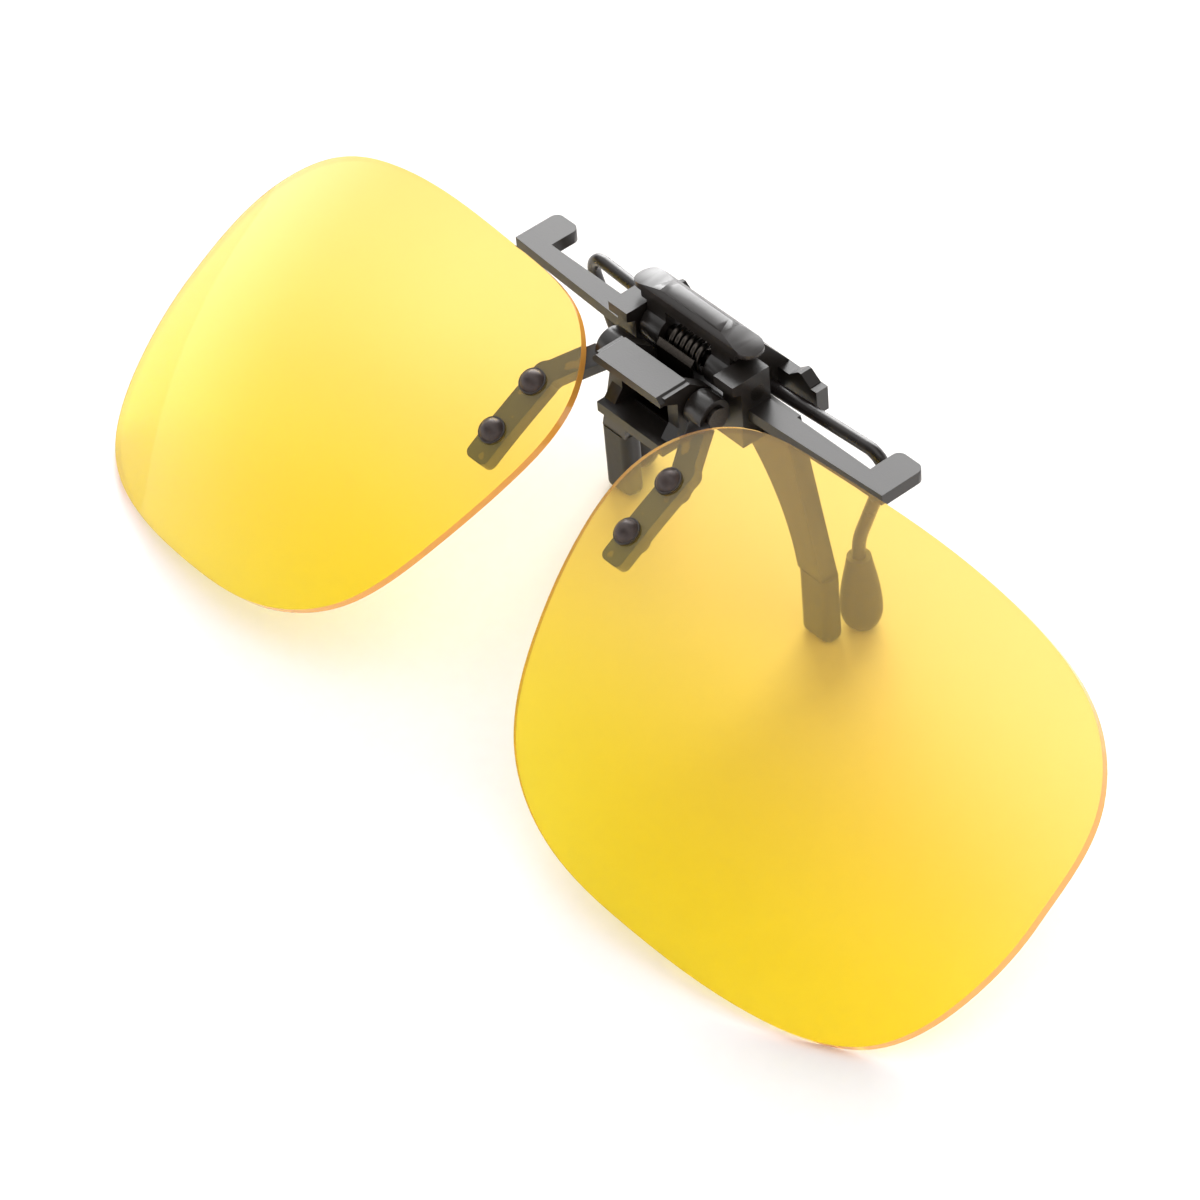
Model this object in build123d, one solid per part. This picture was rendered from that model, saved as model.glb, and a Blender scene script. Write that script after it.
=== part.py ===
from build123d import *
from math import cos, radians, sin
import os

# Flip-up clip-on sunglasses, millimetres, +Z up, +Y towards the wearer's face.
# It stands on its four jaw feet and on the lower edges of its two lenses.
# Y and Z below are measured from the point under the middle of the lenses;
# the whole clip is then moved by FOOTPRINT so the origin is under its middle.

os.makedirs("parts", exist_ok=True)

FOOTPRINT = (0, -5.803, 0)

# --- lenses ---
TILT = 33.7  # slope of the lenses below level as the clip stands
LENS_CENTRE = 35.2  # from the clip's middle plane to each lens's middle
LENS_HEIGHT = 18.626  # of the lens plane's middle line above the table
LENS_THICK = 1.0
LENS_RADIUS = 102.0  # spherical curve of the lens, to the middle of its thickness
APEX_X = 17.8  # where the sphere stands proudest, from the middle plane
APEX_RISE = 1.5

# outline from the lens's middle: outwards, up the lens
OUTLINE = [
    (29.9, 0.0),
    (28.9, -9.0),
    (24.0, -18.4),
    (13.0, -22.6),
    (0.0, -23.2),
    (-12.5, -21.7),
    (-21.6, -16.2),
    (-27.0, -6.0),
    (-29.6, 3.5),
    (-29.6, 13.0),
    (-23.5, 20.6),
    (-13.0, 22.7),
    (0.0, 23.2),
    (12.5, 22.3),
    (22.6, 18.8),
    (28.6, 11.0),
]

# --- lens arms, hinge and pins ---
HINGE = (18.2, 28.1)  # y, z of the flip hinge
AXLE_R = 0.85
AXLE_HEAD_R = 1.25
AXLE_HEAD_THICK = 0.5
EYE_R = 1.9
EYE_X = (5.4, 7.9)
ARM_WIDTH = 2.9
ARM_THICK = 1.5
ARM_X = 10.4  # arm's line behind the lens
ARM_BEND = 14.0  # up the lens, where the arm turns in to its eye
ARM_END = 3.0
ARM_CORNER = 0.8  # of its squared end
PIN_U = (12.6, 6.4)  # up the lens
PIN_NAMES = ("upper", "lower")
SHANK_R = 0.7
HEAD_R = 1.3
HEAD_RISE = 0.9
TAIL_R = 1.15
TAIL_THICK = 0.5
WASHER_R = 1.45
WASHER_THICK = 0.25
RUNNING = 0.05  # radial clearance of a turning fit

# --- front frame ---
BLOCK_X = 5.1
BLOCK_Y = 13.8  # front face of the lip and the ledge
LIP = (30.2, 31.2)
LIP_BACK = 17.6
LIP_BEVEL = 0.6
LEDGE = (23.6, 24.8)
WEB_Y = (20.5, 21.8)
WEB_TOP = 26.8
CHEEK_X = (3.5, 5.1)
# side outline (y, z) of the cheeks that carry the flip hinge
CHEEK_SIDE = [
    (BLOCK_Y, LEDGE[0]),
    (15.9, 26.2),
    (15.9, 29.4),
    (14.4, LIP[0]),
    (14.4, 31.0),
    (LIP_BACK, 31.0),
    (20.2, 29.0),
    (WEB_Y[0], WEB_TOP),
    (WEB_Y[1], WEB_TOP),
    (WEB_Y[1], LEDGE[0]),
]
WALL_X = (6.5, 9.3)
WALL_Y = (20.5, 24.2)
WALL_Z = (23.2, 31.8)
BROW_Y = 19.5  # front of each wall's overhanging top
BROW_Z = (30.3, 30.7)
BAR_Y = (22.1, 23.9)
BAR_ROOT = 21.2  # the bar's front face at the wall
BAR_Z = (26.7, 28.0)
HOOK_CORNER = 0.9
BAR_END = 27.5
HOOK_WIDTH = 3.6
HOOK_TIP = 27.7
HOOK_BASE = 26.5  # resting face, a little lower than the bar
BAR_INTO_WALL = 0.5
LEG_Y = (23.0, 25.1)
SHOULDER = 8.6  # top of the sleeves
# (x, z) of the leg's two curved edges, from the clip down to the sleeve
LEG_INNER = [(5.2, LEDGE[0]), (10.6, 16.9), (13.4, SHOULDER)]
LEG_OUTER = [(12.6, 27.0), (14.7, 18.0), (17.0, SHOULDER)]
CHANNEL_BASE = 24.8  # cleared between the walls for the lever
SPIGOT_X = (14.2, 16.4)
SPIGOT_Y = (23.6, 24.8)
SPIGOT_END = 1.2
FRONT_SLEEVE_X = (13.3, 17.4)
FRONT_SLEEVE_Y = (22.9, 25.3)
SLEEVE_ROUND = 0.9  # its upright edges
SLEEVE_TOE_ROUND = 0.8

# --- rear jaw ---
JAW = (22.6, 29.4)  # y, z of the jaw pin
JAW_PIN_R = 0.9
KNUCKLE_R = 1.9
KNUCKLE_X = (3.4, 6.2)
BEAM_X = 11.8
BEAM_Y = (27.9, 29.4)
BEAM_Z = (24.7, 27.6)
SADDLE_X = 7.0
SADDLE_Y = (21.9, 25.0)
SADDLE_Z = (32.4, 33.2)
# side outline (y, z) of the lever's arms, from the saddle back to the beam
LEVER_SIDE = [
    (SADDLE_Y[0], SADDLE_Z[1]),
    (SADDLE_Y[1], SADDLE_Z[1]),
    (BEAM_Y[1], BEAM_Z[1]),
    (BEAM_Y[1], BEAM_Z[0]),
    (25.6, BEAM_Z[0]),
    (24.4, 27.7),
    (22.2, 28.0),
    (SADDLE_Y[0], 30.2),
]
POST_X = 9.4
POST_HALF = 1.5
POST_DEPTH = 1.4
POST_TOP = 28.7
POST_BEVEL = (1.0, 1.3)
WIRE_R = 0.7
WIRE_START = (3.6, 26.5, 26.0)
WIRE_CORNER = (23.0, 27.5, 26.0)
WIRE_KNEE = (17.2, 27.8, 11.5)
WIRE_FOOT = (17.2, 27.8, 1.0)
WIRE_BENDS = (2.2, 9.0)
# radius and height up the foot: a full belly that narrows to the wire
REAR_SLEEVE = [(1.1, 0), (1.95, 1.2), (2.15, 3.6), (1.65, 7.2), (1.25, 9.4)]

# --- thumb pad ---
PAD_LENGTH = 17.6
PAD_WIDTH = 3.1
PAD_CORNER = 1.4
PAD_Y = 23.4
PAD_TOP = 34.6
PAD_BASE = SADDLE_Z[1]
PAD_CROWN_X = 40.0  # radius of the crown, side to side
PAD_CROWN_Y = 2.2

# --- springs ---
COIL_R = 1.55
COIL_WIRE_R = 0.3
COIL_X = 2.4
COIL_TURNS = 6.25
CAM_R = 1.5
CAM_X = 2.9
CAM_SIDE = 2.6
SPRING_TOE = (22.3, 25.6)  # y, z of the coil's front and rear ends
SPRING_HEEL = (24.3, 32.0)
LEAF_THICK = 0.25
LEAF_GAP = 0.15
LEAF_X = 2.6
LEAF_FOOT = 16.6  # front of the part that lies on the ledge
LEAF_CURL = (30.0, 30.5)  # where the top starts to lean back, and its end
LEAF_LEAN = 0.5


def block(xs, ys, zs):
    """A box between three pairs of limits."""
    size = [b - a for a, b in (xs, ys, zs)]
    middle = [(a + b) / 2 for a, b in (xs, ys, zs)]
    return Pos(*middle) * Box(*size)


def slab(points, xs):
    """A side profile, given as (y, z) points, made solid between two x limits."""
    face = make_face(Polyline(*points, close=True))
    outline = Plane.YZ.location * face
    return Pos(xs[0], 0, 0) * extrude(outline, xs[1] - xs[0], dir=(1, 0, 0))


def rod(radius, xs, yz):
    """A round bar along X."""
    turned = Rot(0, 90, 0) * Cylinder(radius, xs[1] - xs[0])
    return Pos((xs[0] + xs[1]) / 2, yz[0], yz[1]) * turned


def other_side(shape):
    return mirror(shape, about=Plane.YZ)


def both(shape):
    return shape + other_side(shape)


# ---------------------------------------------------------------- lenses

lens_plane = Plane(
    origin=(0, 0, LENS_HEIGHT),
    x_dir=(1, 0, 0),
    z_dir=(0, -sin(radians(TILT)), cos(radians(TILT))),
)
sphere_centre = Vector(APEX_X, 0, APEX_RISE - LENS_RADIUS)
FRONT_R = LENS_RADIUS + LENS_THICK / 2
BACK_R = LENS_RADIUS - LENS_THICK / 2


def ball(radius):
    """A sphere of the lens, with its poles off the lens."""
    return Pos(*sphere_centre) * Rot(90, 0, 0) * Sphere(radius)


def surface_z(x, u, radius):
    """Height of a sphere of the lens above the lens plane."""
    flat = (x - sphere_centre.X) ** 2 + u**2
    return sphere_centre.Z + (radius**2 - flat) ** 0.5


def across_lens(u, thick, radius, start):
    """A disc square to the lens at a pin, from start above the back surface."""
    foot = Vector(ARM_X, u, surface_z(ARM_X, u, BACK_R))
    normal = (foot - sphere_centre).normalized()
    place = Plane(origin=foot + normal * start, z_dir=normal)
    return place.location * extrude(Circle(radius), thick)


def lens():
    points = [(LENS_CENTRE + x, u) for x, u in OUTLINE]
    blank = extrude(make_face(Spline(*points, periodic=True)), 30, both=True)
    glass = blank & ball(FRONT_R)
    glass = glass - ball(BACK_R)
    for u in PIN_U:
        glass = glass - across_lens(u, 4, SHANK_R + RUNNING, -1.5)
    return lens_plane.location * glass


def stroke(start, end, width):
    """A straight stroke with round ends, in the lens plane."""
    run = Vector(*end) - Vector(*start)
    middle = (Vector(*start) + Vector(*end)) / 2
    angle = Vector(1, 0).get_signed_angle(run, Vector(0, 0, 1))
    return Pos(*middle) * Rot(0, 0, angle) * SlotCenterToCenter(run.length, width)


def lens_arm():
    eye_in_plane = lens_plane.to_local_coords(Vector(0, *HINGE))
    eye_middle = (EYE_X[0] + EYE_X[1]) / 2
    shape = stroke((eye_middle, eye_in_plane.Y), (ARM_X, ARM_BEND), EYE_X[1] - EYE_X[0])
    bar_end = RectangleRounded(ARM_WIDTH, ARM_BEND - ARM_END, ARM_CORNER)
    shape = shape + Pos(ARM_X, (ARM_BEND + ARM_END) / 2) * bar_end
    shape = shape + Pos(ARM_X, ARM_BEND) * Circle(ARM_WIDTH / 2)
    strap = extrude(shape, 20, both=True) & ball(BACK_R)
    strap = strap - ball(BACK_R - ARM_THICK)
    for u in PIN_U:
        strap = strap - across_lens(u, 4, SHANK_R, -3)
    strap = lens_plane.location * strap
    clear = block((-EYE_X[0], EYE_X[0]), (0, 40), (0, 40))
    arm = strap + rod(EYE_R, EYE_X, HINGE)
    arm = arm - clear - rod(AXLE_HEAD_R + RUNNING, (EYE_X[1], 10), HINGE)
    return arm - rod(AXLE_R, (0, 20), HINGE)


def lens_pin(u):
    above = LENS_THICK + WASHER_THICK
    below = -ARM_THICK - TAIL_THICK
    shank = across_lens(u, above - below, SHANK_R, below)
    tail = across_lens(u, TAIL_THICK - 0.02, TAIL_R, below)
    dome_r = (HEAD_R**2 + HEAD_RISE**2) / (2 * HEAD_RISE)
    foot = Vector(ARM_X, u, surface_z(ARM_X, u, BACK_R))
    normal = (foot - sphere_centre).normalized()
    dome_centre = foot + normal * (above + HEAD_RISE - dome_r)
    head = across_lens(u, HEAD_RISE + 1, HEAD_R, above) & (Pos(*dome_centre) * Sphere(dome_r))
    return lens_plane.location * (shank + tail + head)


def pin_washer(u):
    ring = across_lens(u, WASHER_THICK, WASHER_R, LENS_THICK)
    return lens_plane.location * (ring - across_lens(u, 2, SHANK_R, 0))


# ---------------------------------------------------------- front frame

def front_block():
    """Lip, ledge and cheeks that hold the flip hinge."""
    full = (-BLOCK_X, BLOCK_X)
    lip = block(full, (BLOCK_Y, LIP_BACK), LIP)
    lip = chamfer(lip.edges().filter_by(Axis.Y).group_by(Axis.Z)[-1], LIP_BEVEL)
    ledge = block(full, (BLOCK_Y, WEB_Y[1]), LEDGE)
    cheek = slab(CHEEK_SIDE, CHEEK_X)
    cheek = cheek - rod(AXLE_R + RUNNING, (0, 10), HINGE)
    return lip + ledge + both(cheek)


def wall():
    return slab(
        [
            (WALL_Y[0], WALL_Z[0]),
            (WALL_Y[0], BROW_Z[0]),
            (BROW_Y, BROW_Z[1]),
            (BROW_Y, WALL_Z[1]),
            (WALL_Y[1], WALL_Z[1]),
            (WALL_Y[1], WALL_Z[0]),
        ],
        WALL_X,
    )


def bar_and_hook():
    root = WALL_X[1] - BAR_INTO_WALL
    plan = Polyline(
        (root, BAR_ROOT), (BAR_END, BAR_Y[0]), (BAR_END, BAR_Y[1]), (root, BAR_Y[1]), close=True
    )
    bar = Pos(0, 0, BAR_Z[0]) * extrude(make_face(plan), BAR_Z[1] - BAR_Z[0])
    hook = block((BAR_END - HOOK_WIDTH, BAR_END), (BAR_Y[0], HOOK_TIP), (HOOK_BASE, BAR_Z[1]))
    return bar + fillet(hook.edges().filter_by(Axis.Z).group_by(Axis.Y)[-1], HOOK_CORNER)


def leg():
    inner = ThreePointArc(*LEG_INNER)
    outer = ThreePointArc(*LEG_OUTER)
    foot = Line(inner @ 1, outer @ 1)
    top = Polyline(inner @ 0, (LEG_INNER[0][0], LEG_OUTER[0][1]), outer @ 0)
    face = make_face([inner, foot, outer, top])
    upright = Plane.XZ.location * face
    shape = Pos(0, LEG_Y[0], 0) * extrude(upright, LEG_Y[1] - LEG_Y[0], dir=(0, 1, 0))
    spigot = block(SPIGOT_X, SPIGOT_Y, (SPIGOT_END, SHOULDER + 0.2))
    channel = block((0, WALL_X[0]), (WEB_Y[1], 30), (CHANNEL_BASE, 40))
    return shape + spigot - channel


def front_frame():
    web = block((-WALL_X[1], WALL_X[1]), WEB_Y, (WALL_Z[0], WEB_TOP))
    floor = block((-WALL_X[1], WALL_X[1]), (WEB_Y[0], LEG_Y[1]), (WALL_Z[0], LEDGE[1]))
    frame = front_block() + web + floor + both(wall() + bar_and_hook() + leg())
    return frame - rod(JAW_PIN_R, (-10, 10), JAW)


def front_sleeve():
    outer = block(FRONT_SLEEVE_X, FRONT_SLEEVE_Y, (0, SHOULDER))
    outer = fillet(outer.edges().filter_by(Axis.Z), SLEEVE_ROUND)
    outer = fillet(outer.faces().sort_by(Axis.Z)[0].edges(), SLEEVE_TOE_ROUND)
    return outer - block(SPIGOT_X, SPIGOT_Y, (SPIGOT_END, 20))


# ------------------------------------------------------------ rear jaw

def jaw_lever():
    cheek = slab(LEVER_SIDE, KNUCKLE_X)
    cheek = cheek + rod(KNUCKLE_R, KNUCKLE_X, JAW)
    cheek = cheek - rod(JAW_PIN_R + RUNNING, (0, 20), JAW)
    beam = block((-BEAM_X, BEAM_X), BEAM_Y, BEAM_Z)
    saddle = block((-SADDLE_X, SADDLE_X), SADDLE_Y, SADDLE_Z)
    post = block(
        (POST_X - POST_HALF, POST_X + POST_HALF),
        (BEAM_Y[0], BEAM_Y[0] + POST_DEPTH),
        (BEAM_Z[0], POST_TOP),
    )
    shoulders = post.edges().filter_by(Axis.Y).group_by(Axis.Z)[-1]
    post = chamfer(shoulders, *POST_BEVEL)
    lever = beam + saddle + both(cheek + post)
    return lever - both(wire())


def wire_path():
    return FilletPolyline(WIRE_START, WIRE_CORNER, WIRE_KNEE, WIRE_FOOT, radius=WIRE_BENDS)


def wire():
    path = wire_path()
    return sweep(Plane(origin=path @ 0, z_dir=path % 0).location * Circle(WIRE_R), path=path)


def rear_sleeve():
    x, y, _ = WIRE_FOOT
    top = REAR_SLEEVE[-1][1]
    half = make_face([Spline(*REAR_SLEEVE), Polyline(REAR_SLEEVE[-1], (0, top), (0, 0), REAR_SLEEVE[0])])
    outer = Pos(x, y, 0) * revolve(Plane.XZ.location * half, Axis.Z)
    bore = Pos(x, y, 20) * Cylinder(WIRE_R, 2 * (20 - WIRE_FOOT[2]))
    return outer - bore


def thumb_pad():
    top = PAD_TOP - PAD_BASE
    crown = Pos(0, PAD_Y, PAD_TOP - PAD_CROWN_X) * Rot(90, 0, 0) * Cylinder(PAD_CROWN_X, 30)
    barrel = Pos(0, PAD_Y, PAD_TOP - PAD_CROWN_Y) * Rot(0, 90, 0) * Cylinder(PAD_CROWN_Y, 30)
    plan = extrude(RectangleRounded(PAD_LENGTH, PAD_WIDTH, PAD_CORNER), 2 * top)
    pad = Pos(0, PAD_Y, PAD_BASE) * plan & crown
    return pad & barrel


# ------------------------------------------------------------- springs

def jaw_spring():
    pitch = 2 * COIL_X / COIL_TURNS
    coil = Helix(pitch=pitch, height=2 * COIL_X, radius=COIL_R)
    coil = Pos(-COIL_X, *JAW) * Rot(0, 90, 0) * coil
    section = Plane(origin=coil @ 0, z_dir=coil % 0).location * Circle(COIL_WIRE_R)
    body = sweep(section, path=coil, is_frenet=True)
    front_leg = Line(coil @ 0, (-COIL_X, *SPRING_TOE))
    rear_leg = Line(coil @ 1, (COIL_X, *SPRING_HEEL))
    for run in (front_leg, rear_leg):
        end = Plane(origin=run @ 0, z_dir=run % 0).location * Circle(COIL_WIRE_R)
        body = body + sweep(end, path=run)
    return body


def detent_cam():
    square = Rot(TILT, 0, 0) * Box(2 * CAM_X, CAM_SIDE, CAM_SIDE)
    cam = Pos(0, *HINGE) * square & rod(CAM_R, (-CAM_X, CAM_X), HINGE)
    return cam - rod(AXLE_R, (-10, 10), HINGE)


def detent_spring():
    back = HINGE[0] + CAM_R + LEAF_GAP
    low = LEDGE[1]
    return slab(
        [
            (LEAF_FOOT, low),
            (back + LEAF_THICK, low),
            (back + LEAF_THICK, LEAF_CURL[0]),
            (back + LEAF_THICK + LEAF_LEAN, LEAF_CURL[1]),
            (back + LEAF_LEAN, LEAF_CURL[1] + LEAF_THICK),
            (back, LEAF_CURL[0] + LEAF_THICK / 2),
            (back, low + LEAF_THICK),
            (LEAF_FOOT, low + LEAF_THICK),
        ],
        (-LEAF_X, LEAF_X),
    )


def flip_axle():
    axle = rod(AXLE_R, (-EYE_X[1], EYE_X[1]), HINGE)
    head = rod(AXLE_HEAD_R, (EYE_X[1], EYE_X[1] + AXLE_HEAD_THICK), HINGE)
    return axle + both(head)


nodes = {
    "front_frame": front_frame(),
    "jaw_lever": jaw_lever(),
    "thumb_pad": thumb_pad(),
    "jaw_pin": rod(JAW_PIN_R, (-WALL_X[1], WALL_X[1]), JAW),
    "jaw_spring": jaw_spring(),
    "flip_axle": flip_axle(),
    "detent_cam": detent_cam(),
    "detent_spring": detent_spring(),
}
pairs = {
    "front_sleeve": front_sleeve(),
    "rear_sleeve": rear_sleeve(),
    "wire_prong": wire(),
    "lens_arm": lens_arm(),
    "lens": lens(),
}
for u, place in zip(PIN_U, PIN_NAMES):
    pairs["lens_pin_" + place] = lens_pin(u)
    pairs["pin_washer_" + place] = pin_washer(u)
for name, shape in pairs.items():
    nodes[name + "_right"] = shape
    nodes[name + "_left"] = other_side(shape)

whole = Compound(children=[Pos(*FOOTPRINT) * shape for shape in nodes.values()])
box = whole.bounding_box()
print("box", box.min, box.max)
for name, shape in nodes.items():
    export_step(Pos(*FOOTPRINT) * shape, "parts/" + name + ".step")
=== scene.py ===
import math

import bpy
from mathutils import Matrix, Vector


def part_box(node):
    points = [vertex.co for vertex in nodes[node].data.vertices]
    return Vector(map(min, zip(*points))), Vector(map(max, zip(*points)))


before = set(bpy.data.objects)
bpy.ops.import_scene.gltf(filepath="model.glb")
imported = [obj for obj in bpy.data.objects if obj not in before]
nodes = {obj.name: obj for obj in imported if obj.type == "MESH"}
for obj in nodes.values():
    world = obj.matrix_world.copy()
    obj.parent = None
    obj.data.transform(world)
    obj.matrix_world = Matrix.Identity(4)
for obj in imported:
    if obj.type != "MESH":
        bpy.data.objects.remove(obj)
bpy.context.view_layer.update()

# Flip-up clip-on sunglasses: yellow lenses pinned to black nylon arms, and a spring clip
# with two hooks and four soft-footed jaws. Metres, in the CAD model's frame.

MM = 0.001

SIDES = ("left", "right")


def on_both_sides(*stems):
    return [nodes[f"{stem}_{side}"] for stem in stems for side in SIDES]


# ------------------------------------------------------------------ helpers

def paint(hex_colour):
    """An sRGB hex colour as a linear one with alpha 1."""
    channels = [int(hex_colour[i:i + 2], 16) / 255 for i in (1, 3, 5)]
    linear = [c / 12.92 if c <= 0.04045 else ((c + 0.055) / 1.055) ** 2.4 for c in channels]
    return (*linear, 1.0)


def add(tree, kind, inputs=None, **settings):
    """Adds a node to tree with its settings, and links or sets its inputs by name or number."""
    made = tree.nodes.new(kind)
    for name, value in settings.items():
        setattr(made, name, value)
    for name, value in (inputs or {}).items():
        if isinstance(value, bpy.types.NodeSocket):
            tree.links.new(value, made.inputs[name])
        else:
            made.inputs[name].default_value = value
    return made


def blank_material(name):
    material = bpy.data.materials.new(name)
    material.use_nodes = True
    material.node_tree.nodes.clear()
    return material, material.node_tree


def cycles_per_metre(size_mm):
    """Texture scale that makes one grain of the pattern about size_mm wide."""
    return 1 / (size_mm * MM)


def dress(objects, material):
    for obj in objects:
        obj.data.materials.clear()
        obj.data.materials.append(material)


def soften_edges(objects, width_mm, segments=3, angle=30):
    """Rounds the sharp edges as a mould or a deburring wheel leaves them."""
    for obj in objects:
        weld = obj.modifiers.new("weld_seams", "WELD")
        weld.merge_threshold = 0.002 * MM
        bevel = obj.modifiers.new("soft_edges", "BEVEL")
        bevel.width = width_mm * MM
        bevel.segments = segments
        bevel.limit_method = "ANGLE"
        bevel.angle_limit = math.radians(angle)
        bevel.harden_normals = True
        bevel.use_clamp_overlap = True


# ---------------------------------------------------------------- materials

def cast_yellow_lens():
    """Cast and dyed acrylic sheet, polished: strong yellow, glossy on both faces.

    A share of it is diffuse, more of it low down: painted light that makes up for the light
    lost in the shade under the lens. The yellow is painted more saturated low down, for the floor
    lit yellow through the lens, and paler towards the top, a painted reflection of the soft box.
    The dye is seen end on at the cut rim, which glows orange."""
    material, tree = blank_material("cast_yellow_lens")
    place = add(tree, "ShaderNodeTexCoord")
    out_of_face = add(tree, "ShaderNodeVectorMath", {0: place.outputs["Normal"], 1: LENS_FACING},
                      operation="DOT_PRODUCT")
    flatness = add(tree, "ShaderNodeMath", {0: out_of_face.outputs["Value"]}, operation="ABSOLUTE")
    rim = add(tree, "ShaderNodeMapRange", {"Value": flatness.outputs[0],
                                           "From Min": RIM_FLATNESS[0],
                                           "From Max": RIM_FLATNESS[1]},
              interpolation_type="SMOOTHSTEP")
    height = add(tree, "ShaderNodeVectorMath", {0: place.outputs["Object"], 1: UP_THE_LENS},
                 operation="DOT_PRODUCT")
    painted_light_ramp = add(tree, "ShaderNodeMapRange", {"Value": height.outputs["Value"],
                                            "From Min": LENS_LOW, "From Max": LENS_HIGH},
               interpolation_type="SMOOTHSTEP")
    # painted light: yellow more saturated low down, for the floor lit yellow through the lens, and
    # paler at the top, a painted reflection of the soft box
    yellow_with_painted_light = add(tree, "ShaderNodeMix", {"Factor": painted_light_ramp.outputs[0], "A": paint("#FFEA32"),
                                      "B": paint("#FFD974")}, data_type="RGBA")
    tint = add(tree, "ShaderNodeMix", {"Factor": rim.outputs[0], "A": yellow_with_painted_light.outputs["Result"],
                                       "B": paint("#F2A94C")}, data_type="RGBA")
    # painted light: the lens is made more diffuse low down to make up for the shade under it
    painted_light_clarity = add(tree, "ShaderNodeMapRange", {"Value": painted_light_ramp.outputs[0],
                                             "To Min": LENS_CLARITY_WITH_PAINTED_LIGHT[0],
                                             "To Max": LENS_CLARITY_WITH_PAINTED_LIGHT[1]})
    clarity = add(tree, "ShaderNodeMapRange", {"Value": rim.outputs[0],
                                               "To Min": painted_light_clarity.outputs[0],
                                               "To Max": RIM_CLARITY})
    surface = add(tree, "ShaderNodeBsdfPrincipled",
                  {"Base Color": tint.outputs["Result"], "Roughness": 0.03, "IOR": 1.49,
                   "Transmission Weight": clarity.outputs[0]})
    add(tree, "ShaderNodeOutputMaterial", {"Surface": surface.outputs[0]})
    return material


def spark_moulded_nylon():
    """Black glass-filled nylon from a spark-eroded mould: satin, with a fine even grain
    that spreads highlights, and a brown-grey bloom where it is lit."""
    material, tree = blank_material("spark_moulded_nylon")
    local = add(tree, "ShaderNodeTexCoord").outputs["Object"]
    # real grain is about 0.06 mm; drawn at 0.2 mm so that it shows
    grain = add(tree, "ShaderNodeTexNoise", {"Vector": local, "Scale": cycles_per_metre(0.2),
                                             "Detail": 3.0, "Roughness": 0.6})
    flow = add(tree, "ShaderNodeTexNoise", {"Vector": local, "Scale": cycles_per_metre(5),
                                            "Detail": 2.0})
    colour = add(tree, "ShaderNodeMix", {"Factor": flow.outputs["Fac"], "A": paint("#151210"),
                                         "B": paint("#221D19")}, data_type="RGBA")
    rough = add(tree, "ShaderNodeMapRange", {"Value": grain.outputs["Fac"], "To Min": 0.26,
                                             "To Max": 0.4})
    bump = add(tree, "ShaderNodeBump", {"Strength": 0.35, "Distance": 0.02 * MM,
                                        "Height": grain.outputs["Fac"]})
    surface = add(tree, "ShaderNodeBsdfPrincipled",
                  {"Base Color": colour.outputs["Result"], "Roughness": rough.outputs[0],
                   "IOR": 1.53, "Normal": bump.outputs[0]})
    add(tree, "ShaderNodeOutputMaterial", {"Surface": surface.outputs[0]})
    return material


def polished_abs_pad():
    """Black ABS from a polished mould, dulled by thumb wear to an even half gloss."""
    material, tree = blank_material("polished_abs_pad")
    local = add(tree, "ShaderNodeTexCoord").outputs["Object"]
    smear = add(tree, "ShaderNodeTexNoise", {"Vector": local, "Scale": cycles_per_metre(3),
                                             "Detail": 4.0, "Roughness": 0.65})
    rough = add(tree, "ShaderNodeMapRange", {"Value": smear.outputs["Fac"], "From Min": 0.35,
                                             "From Max": 0.7, "To Min": 0.3, "To Max": 0.4})
    colour = add(tree, "ShaderNodeMix", {"Factor": smear.outputs["Fac"], "A": paint("#1A1614"),
                                         "B": paint("#28221F")}, data_type="RGBA")
    surface = add(tree, "ShaderNodeBsdfPrincipled",
                  {"Base Color": colour.outputs["Result"], "Roughness": rough.outputs[0],
                   "IOR": 1.53})
    add(tree, "ShaderNodeOutputMaterial", {"Surface": surface.outputs[0]})
    return material


def dip_coated_wire():
    """Spring wire with a baked black dip coat: smooth, half gloss, a little uneven."""
    material, tree = blank_material("dip_coated_wire")
    local = add(tree, "ShaderNodeTexCoord").outputs["Object"]
    sag = add(tree, "ShaderNodeTexNoise", {"Vector": local, "Scale": cycles_per_metre(1.2),
                                           "Detail": 2.0})
    colour = add(tree, "ShaderNodeMix", {"Factor": sag.outputs["Fac"], "A": paint("#181514"),
                                         "B": paint("#2A2422")}, data_type="RGBA")
    rough = add(tree, "ShaderNodeMapRange", {"Value": sag.outputs["Fac"], "To Min": 0.22,
                                             "To Max": 0.36})
    bump = add(tree, "ShaderNodeBump", {"Strength": 0.2, "Distance": 0.03 * MM,
                                        "Height": sag.outputs["Fac"]})
    surface = add(tree, "ShaderNodeBsdfPrincipled",
                  {"Base Color": colour.outputs["Result"], "Roughness": rough.outputs[0],
                   "Normal": bump.outputs[0]})
    add(tree, "ShaderNodeOutputMaterial", {"Surface": surface.outputs[0]})
    return material


def blackened_rivet_steel():
    """Steel rivets, cold headed and blackened: dark brown-black, satin, a patchy patina."""
    material, tree = blank_material("blackened_rivet_steel")
    local = add(tree, "ShaderNodeTexCoord").outputs["Object"]
    patina = add(tree, "ShaderNodeTexNoise", {"Vector": local, "Scale": cycles_per_metre(0.5),
                                              "Detail": 3.0})
    colour = add(tree, "ShaderNodeMix", {"Factor": patina.outputs["Fac"], "A": paint("#2B2321"),
                                         "B": paint("#4A3D39")}, data_type="RGBA")
    rough = add(tree, "ShaderNodeMapRange", {"Value": patina.outputs["Fac"], "To Min": 0.34,
                                             "To Max": 0.5})
    surface = add(tree, "ShaderNodeBsdfPrincipled",
                  {"Base Color": colour.outputs["Result"], "Roughness": rough.outputs[0],
                   "Metallic": 0.35})
    add(tree, "ShaderNodeOutputMaterial", {"Surface": surface.outputs[0]})
    return material


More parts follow.
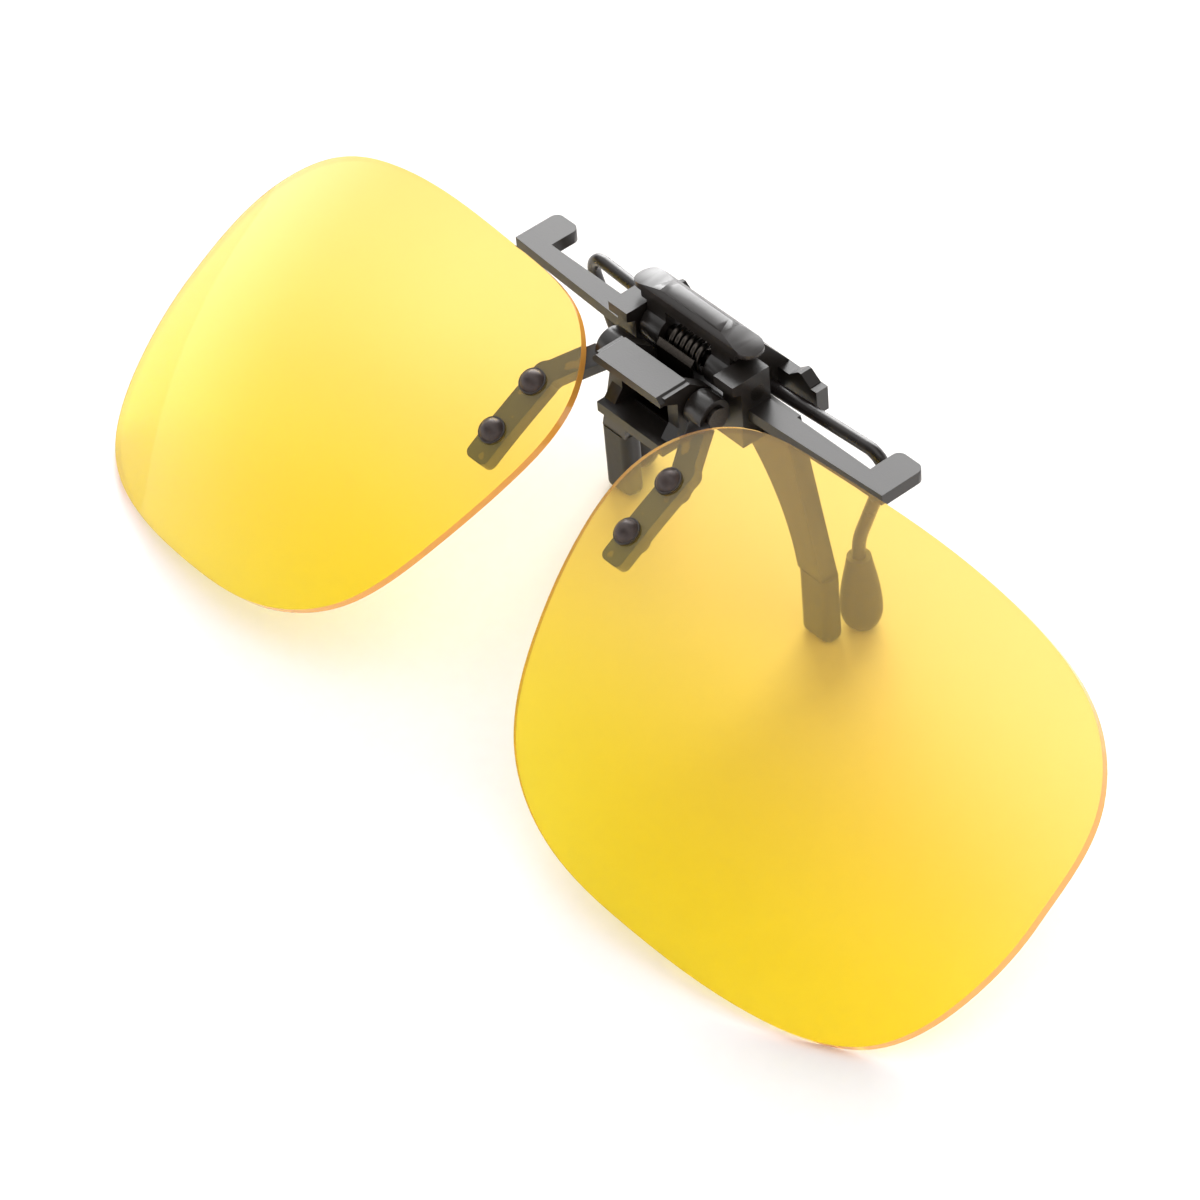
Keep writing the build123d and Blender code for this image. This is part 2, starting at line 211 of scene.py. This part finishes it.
def drawn_spring_steel():
    """Drawn and oil-tempered spring steel: dark brown-grey scale, finely mottled."""
    material, tree = blank_material("drawn_spring_steel")
    local = add(tree, "ShaderNodeTexCoord").outputs["Object"]
    lines = add(tree, "ShaderNodeTexNoise", {"Vector": local, "Scale": cycles_per_metre(0.15),
                                             "Detail": 2.0})
    colour = add(tree, "ShaderNodeMix", {"Factor": lines.outputs["Fac"], "A": paint("#2E2A27"),
                                         "B": paint("#5C5650")}, data_type="RGBA")
    surface = add(tree, "ShaderNodeBsdfPrincipled",
                  {"Base Color": colour.outputs["Result"], "Roughness": 0.3, "Metallic": 1.0})
    add(tree, "ShaderNodeOutputMaterial", {"Surface": surface.outputs[0]})
    return material


def dipped_vinyl_foot():
    """Soft black vinyl, dip moulded over the jaws: dull, faintly dusty, slightly uneven."""
    material, tree = blank_material("dipped_vinyl_foot")
    local = add(tree, "ShaderNodeTexCoord").outputs["Object"]
    skin = add(tree, "ShaderNodeTexNoise", {"Vector": local, "Scale": cycles_per_metre(0.4),
                                            "Detail": 4.0, "Roughness": 0.6})
    colour = add(tree, "ShaderNodeMix", {"Factor": skin.outputs["Fac"], "A": paint("#1A1818"),
                                         "B": paint("#2C2929")}, data_type="RGBA")
    rough = add(tree, "ShaderNodeMapRange", {"Value": skin.outputs["Fac"], "To Min": 0.48,
                                             "To Max": 0.68})
    bump = add(tree, "ShaderNodeBump", {"Strength": 0.3, "Distance": 0.03 * MM,
                                        "Height": skin.outputs["Fac"]})
    surface = add(tree, "ShaderNodeBsdfPrincipled",
                  {"Base Color": colour.outputs["Result"], "Roughness": rough.outputs[0],
                   "Normal": bump.outputs[0], "Sheen Weight": 0.15, "Sheen Roughness": 0.4})
    add(tree, "ShaderNodeOutputMaterial", {"Surface": surface.outputs[0]})
    return material


def turned_nylon_washer():
    """Grey-black nylon washers, turned from rod: dull, with a faint mottle."""
    material, tree = blank_material("turned_nylon_washer")
    local = add(tree, "ShaderNodeTexCoord").outputs["Object"]
    grain = add(tree, "ShaderNodeTexNoise", {"Vector": local, "Scale": cycles_per_metre(0.3),
                                             "Detail": 2.0})
    colour = add(tree, "ShaderNodeMix", {"Factor": grain.outputs["Fac"], "A": paint("#26211F"),
                                         "B": paint("#3A3431")}, data_type="RGBA")
    surface = add(tree, "ShaderNodeBsdfPrincipled",
                  {"Base Color": colour.outputs["Result"], "Roughness": 0.5, "IOR": 1.53})
    add(tree, "ShaderNodeOutputMaterial", {"Surface": surface.outputs[0]})
    return material


# ------------------------------------------------------------- lens facts

LENS_TILT = math.radians(33.7)  # slope of the lenses below level at rest
LENS_FACING = (0.0, -math.sin(LENS_TILT), math.cos(LENS_TILT))
UP_THE_LENS = (0.0, math.cos(LENS_TILT), math.sin(LENS_TILT))
lens_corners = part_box("lens_right")
LENS_LOW = lens_corners[0].dot(Vector(UP_THE_LENS))
LENS_HIGH = lens_corners[1].dot(Vector(UP_THE_LENS))
LENS_CLARITY_WITH_PAINTED_LIGHT = (0.79, 0.92)  # share of the light let through, at the foot and at the top; lower at the foot so that the diffuse share paints in the light lost in the shade under the lens
RIM_CLARITY = 0.15
RIM_FLATNESS = (0.75, 0.35)  # how squarely a spot faces out where the rim starts, and is full

mouldings = [nodes["front_frame"], nodes["jaw_lever"], *on_both_sides("lens_arm")]
dress([*mouldings, nodes["detent_cam"]], spark_moulded_nylon())
dress([nodes["thumb_pad"]], polished_abs_pad())
dress(on_both_sides("wire_prong"), dip_coated_wire())
dress(on_both_sides("lens_pin_upper", "lens_pin_lower"), blackened_rivet_steel())
dress(on_both_sides("pin_washer_upper", "pin_washer_lower"), turned_nylon_washer())
steel_names = ("jaw_pin", "flip_axle", "jaw_spring", "detent_spring")
dress([nodes[name] for name in steel_names], drawn_spring_steel())
dress(on_both_sides("front_sleeve", "rear_sleeve"), dipped_vinyl_foot())
dress(on_both_sides("lens"), cast_yellow_lens())

soften_edges(mouldings, 0.15)
soften_edges([nodes["thumb_pad"]], 0.35)

# ------------------------------------------------------------------- studio

def studio_floor():
    """Matt white paper sweep."""
    material, tree = blank_material("white_paper_sweep")
    local = add(tree, "ShaderNodeTexCoord").outputs["Object"]
    fibre = add(tree, "ShaderNodeTexNoise", {"Vector": local, "Scale": cycles_per_metre(2),
                                             "Detail": 2.0})
    colour = add(tree, "ShaderNodeMix", {"Factor": fibre.outputs["Fac"], "A": paint("#F6F4F4"),
                                         "B": paint("#FAF8F8")}, data_type="RGBA")
    surface = add(tree, "ShaderNodeBsdfPrincipled",
                  {"Base Color": colour.outputs["Result"], "Roughness": 0.9,
                   "Specular IOR Level": 0.2})
    add(tree, "ShaderNodeOutputMaterial", {"Surface": surface.outputs[0]})
    mesh = bpy.data.meshes.new("paper_sweep")
    corners = [(x * FLOOR_REACH, y * FLOOR_REACH, 0)
               for x, y in ((-1, -1), (1, -1), (1, 1), (-1, 1))]
    mesh.from_pydata(corners, [], [(0, 1, 2, 3)])
    floor = bpy.data.objects.new("paper_sweep", mesh)
    bpy.context.scene.collection.objects.link(floor)
    mesh.materials.append(material)


def studio_light():
    """A white room with a long soft box overhead and a second one low at the back left."""
    world = bpy.data.worlds.new("white_studio")
    bpy.context.scene.world = world
    world.use_nodes = True
    tree = world.node_tree
    tree.nodes.clear()
    direction = add(tree, "ShaderNodeTexCoord").outputs["Generated"]
    split = add(tree, "ShaderNodeSeparateXYZ", {0: direction})
    strip = OVERHEAD_POWER
    for axis, dark, lit in OVERHEAD_EDGES:
        edge = add(tree, "ShaderNodeMapRange", {"Value": split.outputs[axis], "From Min": dark,
                                                "From Max": lit, "To Max": strip},
                   interpolation_type="SMOOTHSTEP")
        strip = edge.outputs[0]
    sweep = add(tree, "ShaderNodeMapRange", {"Value": split.outputs["Z"], "From Max": SWEEP_TOP,
                                             "To Min": SWEEP_LIGHT, "To Max": ROOM_LIGHT},
                interpolation_type="SMOOTHSTEP")
    close = add(tree, "ShaderNodeVectorMath", {0: direction, 1: BACK_LIGHT.normalized()},
                operation="DOT_PRODUCT")
    lobe = add(tree, "ShaderNodeMapRange",
               {"Value": close.outputs["Value"], "From Min": BACK_LIGHT_COSINES[1],
                "From Max": BACK_LIGHT_COSINES[0], "To Max": BACK_LIGHT_POWER},
               interpolation_type="SMOOTHERSTEP")
    boxes = add(tree, "ShaderNodeMath", {0: lobe.outputs[0], 1: strip}, operation="ADD")
    glow = add(tree, "ShaderNodeMath", {0: boxes.outputs[0], 1: sweep.outputs[0]}, operation="ADD")
    sky = add(tree, "ShaderNodeBackground", {"Color": paint("#FFFFFF"),
                                             "Strength": glow.outputs[0]})
    add(tree, "ShaderNodeOutputWorld", {"Surface": sky.outputs[0]})


FLOOR_REACH = 4.0
ROOM_LIGHT = 0.2
SWEEP_LIGHT = 1.75  # the white paper, curved up all round, from level up to SWEEP_TOP
SWEEP_TOP = 0.6
OVERHEAD_POWER = 1.35
# the overhead box fades between these components of the direction to it
OVERHEAD_EDGES = (("Y", -0.70, -0.15), ("Y", 0.60, 0.05), ("Z", 0.25, 0.70))
BACK_LIGHT = Vector((-0.6, 0.72, 0.34))
# full within 10 degrees of its middle, gone at 36
BACK_LIGHT_COSINES = (math.cos(math.radians(10)), math.cos(math.radians(36)))
BACK_LIGHT_POWER = 8.5

studio_floor()
studio_light()

# ------------------------------------------------------------------- camera

VIEWPOINT = Vector((263.3, -189.2, 314.5)) * MM
SIGHT_AZIMUTH = math.radians(45.1)
SIGHT_DIP = math.radians(39.87)
FOCAL_LENGTH = 134
AIM = Vector((8.5, -4.0, 15.0)) * MM

camera = bpy.data.cameras.new("camera")
camera.lens = FOCAL_LENGTH
camera.sensor_width = 36
camera.clip_start = 0.01
eye = bpy.data.objects.new("camera", camera)
bpy.context.scene.collection.objects.link(eye)
level_sight = Vector((
    -math.sin(SIGHT_AZIMUTH) * math.cos(SIGHT_DIP),
    math.cos(SIGHT_AZIMUTH) * math.cos(SIGHT_DIP),
    -math.sin(SIGHT_DIP),
))
swing = level_sight.rotation_difference(AIM - VIEWPOINT)
eye.rotation_mode = "QUATERNION"
eye.rotation_quaternion = swing @ level_sight.to_track_quat("-Z", "Y")
eye.location = VIEWPOINT
bpy.context.scene.camera = eye
bpy.context.scene.view_settings.view_transform = "Standard"
